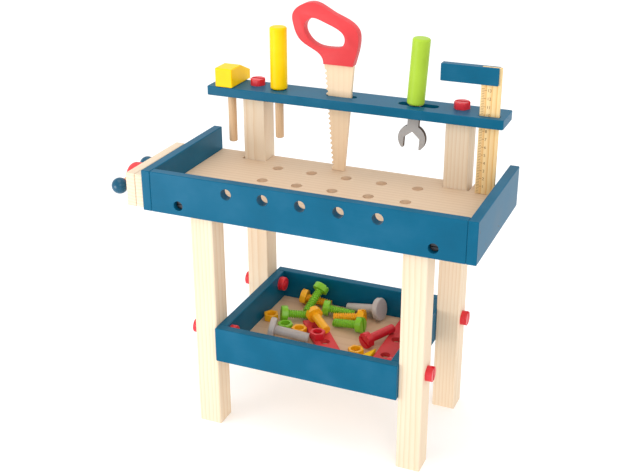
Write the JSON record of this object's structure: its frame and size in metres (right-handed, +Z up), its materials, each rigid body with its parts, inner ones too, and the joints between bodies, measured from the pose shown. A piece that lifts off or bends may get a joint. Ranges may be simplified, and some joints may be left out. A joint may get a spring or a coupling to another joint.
{
  "type": "toy workbench",
  "caption": "Child's wooden workbench with a rimmed peg-hole worktop, side vise, tool shelf with hand tools, and a hanging tray of loose bolts and nails.",
  "frame": {"origin": "centre of the overall bounding box footprint, on the floor the legs stand on", "axes": "+Z up, +X to the right of someone facing the front panel, +Y from the front panel to the tool shelf"},
  "size_m": [0.4767, 0.2036, 0.531],
  "materials": {
    "blue_paint": "satin blue paint on wood",
    "pine": "bare sanded pine",
    "blade_ply": "bare sanded plywood",
    "tray_ply": "bare plywood",
    "beech_dowel": "bare turned dowel",
    "red_plastic": "moulded, semi-gloss",
    "red_paint": "satin red paint on wood",
    "yellow_paint": "satin yellow paint on wood",
    "green_paint": "satin green paint on wood",
    "grey_paint": "matt grey paint on plywood, dark cut edges",
    "yellow_plastic": "moulded, semi-gloss",
    "green_plastic": "moulded, semi-gloss",
    "grey_plastic": "moulded, satin",
    "staple_steel": "dull dark steel"
  },
  "bodies": {
    "bench": {"front_panel": "blue_paint", "left_side_panel": "blue_paint", "right_side_panel": "blue_paint", "tool_shelf": "blue_paint", "tray_front": "blue_paint", "tray_back": "blue_paint", "tray_left_side": "blue_paint", "tray_right_side": "blue_paint", "worktop_board": "pine", "front_left_leg": "pine", "front_right_leg": "pine", "rear_left_upright": "pine", "rear_right_upright": "pine", "vise_fixed_jaw": "pine", "tray_floor": "tray_ply", "front_leg_bolts": "red_plastic", "upright_bolts": "red_plastic", "shelf_bolts": "red_plastic", "tray_bolts": "red_plastic", "tray_nuts": "red_plastic", "panel_staples": "staple_steel", "recessed_front_bolts": "staple_steel"},
    "vise_jaw": {"vise_moving_jaw": "pine", "vise_guide_pins": "beech_dowel"},
    "vise_spindle": {"vise_screw": "beech_dowel", "vise_hub": "red_paint", "vise_handle_bar": "beech_dowel", "vise_handle_front_ball": "blue_paint", "vise_handle_rear_ball": "blue_paint"},
    "hammer": {"hammer_head": "yellow_paint", "hammer_handle": "beech_dowel"},
    "screwdriver": {"screwdriver_handle": "yellow_paint", "screwdriver_shaft": "beech_dowel"},
    "saw": {"saw_handle": "red_paint", "saw_blade": "blade_ply"},
    "wrench": {"wrench_handle": "green_paint", "wrench_jaw": "grey_paint"},
    "try_square": {"try_square_stock": "blue_paint", "try_square_blade": "blade_ply"},
    "loose_yellow_bolt_1": {"yellow_bolt_1": "yellow_plastic"},
    "loose_green_bolt_1": {"green_bolt_1": "green_plastic"},
    "loose_green_bolt_2": {"green_bolt_2": "green_plastic"},
    "loose_green_bolt_3": {"green_bolt_3": "green_plastic"},
    "loose_green_bolt_4": {"green_bolt_4": "green_plastic"},
    "loose_yellow_bolt_2": {"yellow_bolt_2": "yellow_plastic"},
    "loose_yellow_bolt_3": {"yellow_bolt_3": "yellow_plastic"},
    "loose_red_bolt": {"red_bolt": "red_plastic"},
    "loose_grey_nail_1": {"grey_nail_1": "grey_plastic"},
    "loose_grey_nail_2": {"grey_nail_2": "grey_plastic"},
    "loose_red_bar_1": {"red_bar_1": "red_paint"},
    "loose_red_bar_2": {"red_bar_2": "red_paint"},
    "loose_green_nut": {"green_nut": "green_plastic"},
    "loose_yellow_nut_1": {"yellow_nut_1": "yellow_plastic"},
    "loose_yellow_nut_2": {"yellow_nut_2": "yellow_plastic"},
    "loose_yellow_nut_3": {"yellow_nut_3": "yellow_plastic"},
    "loose_red_nut": {"red_nut": "red_plastic"},
    "loose_yellow_wedge": {"yellow_wedge": "yellow_paint"}
  },
  "joints": [
    {"name": "vise_jaw_slide", "type": "slide", "parent": "bench", "child": "vise_jaw", "axis": [-1, 0, 0], "range_m": [0, 0.02]},
    {"name": "vise_screw_turn", "type": "hinge", "parent": "vise_jaw", "child": "vise_spindle", "pos_m": [-0.22765, -0.04575, 0.3163], "axis": [-1, 0, 0], "range_deg": [0, 900]},
    {"name": "hammer_lift", "type": "slide", "parent": "bench", "child": "hammer", "axis": [0, 0, 1], "range_m": [0, 0.085]},
    {"name": "screwdriver_lift", "type": "slide", "parent": "bench", "child": "screwdriver", "axis": [0, 0, 1], "range_m": [0, 0.072]},
    {"name": "saw_lift", "type": "slide", "parent": "bench", "child": "saw", "axis": [0, 0, 1], "range_m": [0, 0.105]},
    {"name": "wrench_lift", "type": "slide", "parent": "bench", "child": "wrench", "axis": [0, 0, 1], "range_m": [0, 0.065]},
    {"name": "try_square_lift", "type": "slide", "parent": "bench", "child": "try_square", "axis": [0, 0, 1], "range_m": [0, 0.105]},
    {"name": "yellow_bolt_1_lift", "type": "slide", "parent": "bench", "child": "loose_yellow_bolt_1", "axis": [0, 0, 1], "range_m": [0, 0.06]},
    {"name": "green_bolt_1_lift", "type": "slide", "parent": "loose_yellow_bolt_1", "child": "loose_green_bolt_1", "axis": [0, 0, 1], "range_m": [0, 0.06]},
    {"name": "green_bolt_2_lift", "type": "slide", "parent": "bench", "child": "loose_green_bolt_2", "axis": [0, 0, 1], "range_m": [0, 0.06]},
    {"name": "green_bolt_3_lift", "type": "slide", "parent": "bench", "child": "loose_green_bolt_3", "axis": [0, 0, 1], "range_m": [0, 0.06]},
    {"name": "green_bolt_4_lift", "type": "slide", "parent": "bench", "child": "loose_green_bolt_4", "axis": [0, 0, 1], "range_m": [0, 0.06]},
    {"name": "yellow_bolt_2_lift", "type": "slide", "parent": "bench", "child": "loose_yellow_bolt_2", "axis": [0, 0, 1], "range_m": [0, 0.06]},
    {"name": "yellow_bolt_3_lift", "type": "slide", "parent": "loose_red_bar_1", "child": "loose_yellow_bolt_3", "axis": [0, 0, 1], "range_m": [0, 0.06]},
    {"name": "red_bolt_lift", "type": "slide", "parent": "loose_red_bar_2", "child": "loose_red_bolt", "axis": [0, 0, 1], "range_m": [0, 0.06]},
    {"name": "grey_nail_1_lift", "type": "slide", "parent": "bench", "child": "loose_grey_nail_1", "axis": [0, 0, 1], "range_m": [0, 0.06]},
    {"name": "grey_nail_2_lift", "type": "slide", "parent": "bench", "child": "loose_grey_nail_2", "axis": [0, 0, 1], "range_m": [0, 0.06]},
    {"name": "red_bar_1_lift", "type": "slide", "parent": "bench", "child": "loose_red_bar_1", "axis": [0, 0, 1], "range_m": [0, 0.06]},
    {"name": "red_bar_2_lift", "type": "slide", "parent": "bench", "child": "loose_red_bar_2", "axis": [0, 0, 1], "range_m": [0, 0.06]},
    {"name": "green_nut_lift", "type": "slide", "parent": "bench", "child": "loose_green_nut", "axis": [0, 0, 1], "range_m": [0, 0.06]},
    {"name": "yellow_nut_1_lift", "type": "slide", "parent": "bench", "child": "loose_yellow_nut_1", "axis": [0, 0, 1], "range_m": [0, 0.06]},
    {"name": "yellow_nut_2_lift", "type": "slide", "parent": "bench", "child": "loose_yellow_nut_2", "axis": [0, 0, 1], "range_m": [0, 0.06]},
    {"name": "yellow_nut_3_lift", "type": "slide", "parent": "bench", "child": "loose_yellow_nut_3", "axis": [0, 0, 1], "range_m": [0, 0.06]},
    {"name": "red_nut_lift", "type": "slide", "parent": "loose_red_bar_1", "child": "loose_red_nut", "axis": [0, 0, 1], "range_m": [0, 0.06]},
    {"name": "yellow_wedge_lift", "type": "slide", "parent": "bench", "child": "loose_yellow_wedge", "axis": [0, 0, 1], "range_m": [0, 0.06]}
  ],
  "couplings": [
    {"joint": "vise_jaw_slide", "follows": "vise_screw_turn", "m_per_rad": 0.001273}
  ]
}
